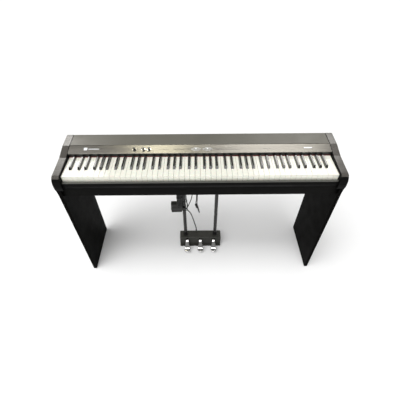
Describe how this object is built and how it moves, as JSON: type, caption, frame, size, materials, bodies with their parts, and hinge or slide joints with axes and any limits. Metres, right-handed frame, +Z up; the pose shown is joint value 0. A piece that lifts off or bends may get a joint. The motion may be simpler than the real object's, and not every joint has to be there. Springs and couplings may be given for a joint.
{
  "type": "digital piano on stand",
  "caption": "Full-size digital piano with sprung keys on a black panel stand, with a three-pedal unit hung on two rods and its adapter and cables.",
  "frame": {"origin": "on the floor under the centre of the whole piano and stand", "axes": "+X to the player's right along the keyboard, +Y away from the player, +Z up"},
  "size_m": [1.3, 0.32, 0.7485],
  "materials": {
    "case_black": "satin moulded",
    "cover_grey": "satin",
    "panel_silver": "brushed",
    "slip_grey": "satin",
    "felt_red": "felt",
    "chassis_grey": "moulded",
    "board_green": "solder mask",
    "speaker_black": "satin",
    "key_white": "gloss",
    "key_black": "semi-gloss",
    "control_black": "gloss",
    "trim_chrome": "polished",
    "plate_white": "gloss",
    "button_grey": "satin",
    "laminate_black": "black laminate",
    "steel": "zinc plated",
    "glide_rubber": "matt",
    "rod_black": "satin black",
    "collar_black": "moulded",
    "housing_grey": "textured dark grey",
    "pedal_chrome": "polished",
    "cable_black": "satin",
    "adapter_black": "textured",
    "tie_black": "nylon"
  },
  "bodies": {
    "piano_and_stand": {"cable_ties": "tie_black", "contact_board": "board_green", "control_panel": "panel_silver", "corner_brackets": "steel", "foot_glides": "glide_rubber", "front_beam": "laminate_black", "jack_panel": "case_black", "key_chassis": "chassis_grey", "key_felt": "felt_red", "key_slip": "slip_grey", "knob_bezels": "trim_chrome", "left_cheek": "cover_grey", "left_leg_panel": "laminate_black", "lower_case": "case_black", "main_board": "board_green", "name_plates": "plate_white", "pedal_base": "housing_grey", "pedal_cable": "cable_black", "pedal_housing": "housing_grey", "pedal_plug": "adapter_black", "pedal_rods": "rod_black", "pedal_shaft": "steel", "pedal_springs": "steel", "power_adapter": "adapter_black", "power_lead": "cable_black", "power_lead_hank": "cable_black", "power_plug": "adapter_black", "rear_beam": "laminate_black", "right_cheek": "cover_grey", "right_leg_panel": "laminate_black", "rod_collars": "collar_black", "rod_flanges": "rod_black", "speakers": "speaker_black", "stand_bolts": "steel", "upper_case": "cover_grey"},
    "key_c4": {"key_c4": "key_white"},
    "key_d4": {"key_d4": "key_white"},
    "key_e4": {"key_e4": "key_white"},
    "key_f4": {"key_f4": "key_white"},
    "key_g4": {"key_g4": "key_white"},
    "key_a4": {"key_a4": "key_white"},
    "key_b4": {"key_b4": "key_white"},
    "key_c_sharp4": {"key_c_sharp4": "key_black"},
    "key_d_sharp4": {"key_d_sharp4": "key_black"},
    "key_f_sharp4": {"key_f_sharp4": "key_black"},
    "key_g_sharp4": {"key_g_sharp4": "key_black"},
    "key_a_sharp4": {"key_a_sharp4": "key_black"},
    "low_white_keys": {"low_white_keys": "key_white"},
    "high_white_keys": {"high_white_keys": "key_white"},
    "low_black_keys": {"low_black_keys": "key_black"},
    "high_black_keys": {"high_black_keys": "key_black"},
    "left_pedal": {"left_pedal": "pedal_chrome"},
    "middle_pedal": {"middle_pedal": "pedal_chrome"},
    "right_pedal": {"right_pedal": "pedal_chrome"},
    "left_knob": {"left_knob": "control_black"},
    "middle_knob": {"middle_knob": "control_black"},
    "right_knob": {"right_knob": "control_black"},
    "left_rocker_pad": {"left_rocker_pad": "button_grey"},
    "right_rocker_pad": {"right_rocker_pad": "button_grey"},
    "tone_buttons": {"tone_buttons": "button_grey"}
  },
  "joints": [
    {"name": "key_c4_press", "type": "hinge", "parent": "piano_and_stand", "child": "key_c4", "pos_m": [0, 0.099, 0.697], "axis": [1, 0, 0], "range_deg": [0, 2.47], "stiffness_Nm_per_rad": 1.4, "springref_deg": -5.16},
    {"name": "key_d4_press", "type": "hinge", "parent": "piano_and_stand", "child": "key_d4", "pos_m": [0, 0.099, 0.697], "axis": [1, 0, 0], "range_deg": [0, 2.47], "stiffness_Nm_per_rad": 1.4, "springref_deg": -5.16},
    {"name": "key_e4_press", "type": "hinge", "parent": "piano_and_stand", "child": "key_e4", "pos_m": [0, 0.099, 0.697], "axis": [1, 0, 0], "range_deg": [0, 2.47], "stiffness_Nm_per_rad": 1.4, "springref_deg": -5.16},
    {"name": "key_f4_press", "type": "hinge", "parent": "piano_and_stand", "child": "key_f4", "pos_m": [0, 0.099, 0.697], "axis": [1, 0, 0], "range_deg": [0, 2.47], "stiffness_Nm_per_rad": 1.4, "springref_deg": -5.16},
    {"name": "key_g4_press", "type": "hinge", "parent": "piano_and_stand", "child": "key_g4", "pos_m": [0, 0.099, 0.697], "axis": [1, 0, 0], "range_deg": [0, 2.47], "stiffness_Nm_per_rad": 1.4, "springref_deg": -5.16},
    {"name": "key_a4_press", "type": "hinge", "parent": "piano_and_stand", "child": "key_a4", "pos_m": [0, 0.099, 0.697], "axis": [1, 0, 0], "range_deg": [0, 2.47], "stiffness_Nm_per_rad": 1.4, "springref_deg": -5.16},
    {"name": "key_b4_press", "type": "hinge", "parent": "piano_and_stand", "child": "key_b4", "pos_m": [0, 0.099, 0.697], "axis": [1, 0, 0], "range_deg": [0, 2.47], "stiffness_Nm_per_rad": 1.4, "springref_deg": -5.16},
    {"name": "key_c_sharp4_press", "type": "hinge", "parent": "piano_and_stand", "child": "key_c_sharp4", "pos_m": [0, 0.099, 0.697], "axis": [1, 0, 0], "range_deg": [0, 2.8], "stiffness_Nm_per_rad": 1.4, "springref_deg": -5.16},
    {"name": "key_d_sharp4_press", "type": "hinge", "parent": "piano_and_stand", "child": "key_d_sharp4", "pos_m": [0, 0.099, 0.697], "axis": [1, 0, 0], "range_deg": [0, 2.8], "stiffness_Nm_per_rad": 1.4, "springref_deg": -5.16},
    {"name": "key_f_sharp4_press", "type": "hinge", "parent": "piano_and_stand", "child": "key_f_sharp4", "pos_m": [0, 0.099, 0.697], "axis": [1, 0, 0], "range_deg": [0, 2.8], "stiffness_Nm_per_rad": 1.4, "springref_deg": -5.16},
    {"name": "key_g_sharp4_press", "type": "hinge", "parent": "piano_and_stand", "child": "key_g_sharp4", "pos_m": [0, 0.099, 0.697], "axis": [1, 0, 0], "range_deg": [0, 2.8], "stiffness_Nm_per_rad": 1.4, "springref_deg": -5.16},
    {"name": "key_a_sharp4_press", "type": "hinge", "parent": "piano_and_stand", "child": "key_a_sharp4", "pos_m": [0, 0.099, 0.697], "axis": [1, 0, 0], "range_deg": [0, 2.8], "stiffness_Nm_per_rad": 1.4, "springref_deg": -5.16},
    {"name": "low_white_keys_press", "type": "hinge", "parent": "piano_and_stand", "child": "low_white_keys", "pos_m": [0, 0.099, 0.697], "axis": [1, 0, 0], "range_deg": [0, 2.47], "stiffness_Nm_per_rad": 32.2, "springref_deg": -5.16},
    {"name": "high_white_keys_press", "type": "hinge", "parent": "piano_and_stand", "child": "high_white_keys", "pos_m": [0, 0.099, 0.697], "axis": [1, 0, 0], "range_deg": [0, 2.47], "stiffness_Nm_per_rad": 30.8, "springref_deg": -5.16},
    {"name": "low_black_keys_press", "type": "hinge", "parent": "piano_and_stand", "child": "low_black_keys", "pos_m": [0, 0.099, 0.697], "axis": [1, 0, 0], "range_deg": [0, 2.8], "stiffness_Nm_per_rad": 22.4, "springref_deg": -5.16},
    {"name": "high_black_keys_press", "type": "hinge", "parent": "piano_and_stand", "child": "high_black_keys", "pos_m": [0, 0.099, 0.697], "axis": [1, 0, 0], "range_deg": [0, 2.8], "stiffness_Nm_per_rad": 21, "springref_deg": -5.16},
    {"name": "left_pedal_press", "type": "hinge", "parent": "piano_and_stand", "child": "left_pedal", "pos_m": [0, 0.062, 0.036], "axis": [1, 0, 0], "range_deg": [0, 7], "stiffness_Nm_per_rad": 12, "springref_deg": -6.88},
    {"name": "middle_pedal_press", "type": "hinge", "parent": "piano_and_stand", "child": "middle_pedal", "pos_m": [0, 0.062, 0.036], "axis": [1, 0, 0], "range_deg": [0, 7], "stiffness_Nm_per_rad": 12, "springref_deg": -6.88},
    {"name": "right_pedal_press", "type": "hinge", "parent": "piano_and_stand", "child": "right_pedal", "pos_m": [0, 0.062, 0.036], "axis": [1, 0, 0], "range_deg": [0, 7], "stiffness_Nm_per_rad": 12, "springref_deg": -6.88},
    {"name": "left_knob_turn", "type": "hinge", "parent": "piano_and_stand", "child": "left_knob", "pos_m": [-0.306, 0.028, 0.73719], "axis": [0, -0.2181, 0.9759], "range_deg": [-140, 140]},
    {"name": "middle_knob_turn", "type": "hinge", "parent": "piano_and_stand", "child": "middle_knob", "pos_m": [-0.265, 0.028, 0.73719], "axis": [0, -0.2181, 0.9759], "range_deg": [-140, 140]},
    {"name": "right_knob_turn", "type": "hinge", "parent": "piano_and_stand", "child": "right_knob", "pos_m": [-0.239, 0.028, 0.73719], "axis": [0, -0.2181, 0.9759], "range_deg": [-140, 140]},
    {"name": "left_rocker_pad_tilt", "type": "hinge", "parent": "piano_and_stand", "child": "left_rocker_pad", "pos_m": [-0.019, 0.028, 0.73719], "axis": [0, 0.9759, 0.2181], "range_deg": [-3, 3], "stiffness_Nm_per_rad": 0.6},
    {"name": "right_rocker_pad_tilt", "type": "hinge", "parent": "piano_and_stand", "child": "right_rocker_pad", "pos_m": [0.035, 0.028, 0.73719], "axis": [0, 0.9759, 0.2181], "range_deg": [-3, 3], "stiffness_Nm_per_rad": 0.6},
    {"name": "tone_buttons_press", "type": "slide", "parent": "piano_and_stand", "child": "tone_buttons", "axis": [0, 0.2181, -0.9759], "range_m": [0, 0.0008], "stiffness_N_per_m": 400, "springref_m": -0.0008}
  ]
}
